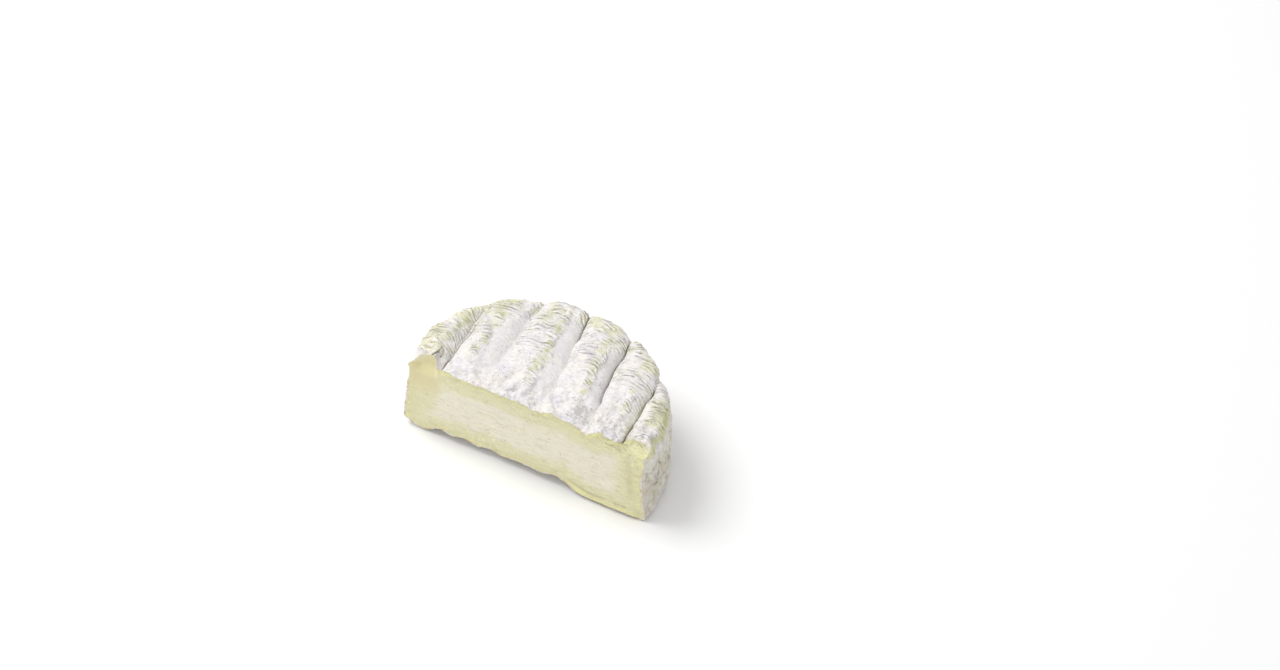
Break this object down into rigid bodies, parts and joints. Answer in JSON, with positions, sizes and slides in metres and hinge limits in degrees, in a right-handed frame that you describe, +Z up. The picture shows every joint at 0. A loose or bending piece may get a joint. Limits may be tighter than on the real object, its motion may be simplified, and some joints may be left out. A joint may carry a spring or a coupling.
{
  "type": "soft cheese half wheel",
  "caption": "Half of a small round soft cheese with a white furrowed bloomy rind, cut straight through to show its cream paste, resting on its flat underside.",
  "frame": {"origin": "centre of the bounding box's bottom face, on the plane that the underside rests on", "axes": "+X along the cut face, +Y from the cut face towards the round side, +Z up"},
  "size_m": [0.1062, 0.0568, 0.0386],
  "materials": {
    "cheese": "matt white bloomy rind with grey furrows and yellow-green tints, satin cream paste on the cut face"
  },
  "bodies": {
    "root": {"half_wheel": "cheese"}
  },
  "joints": []
}
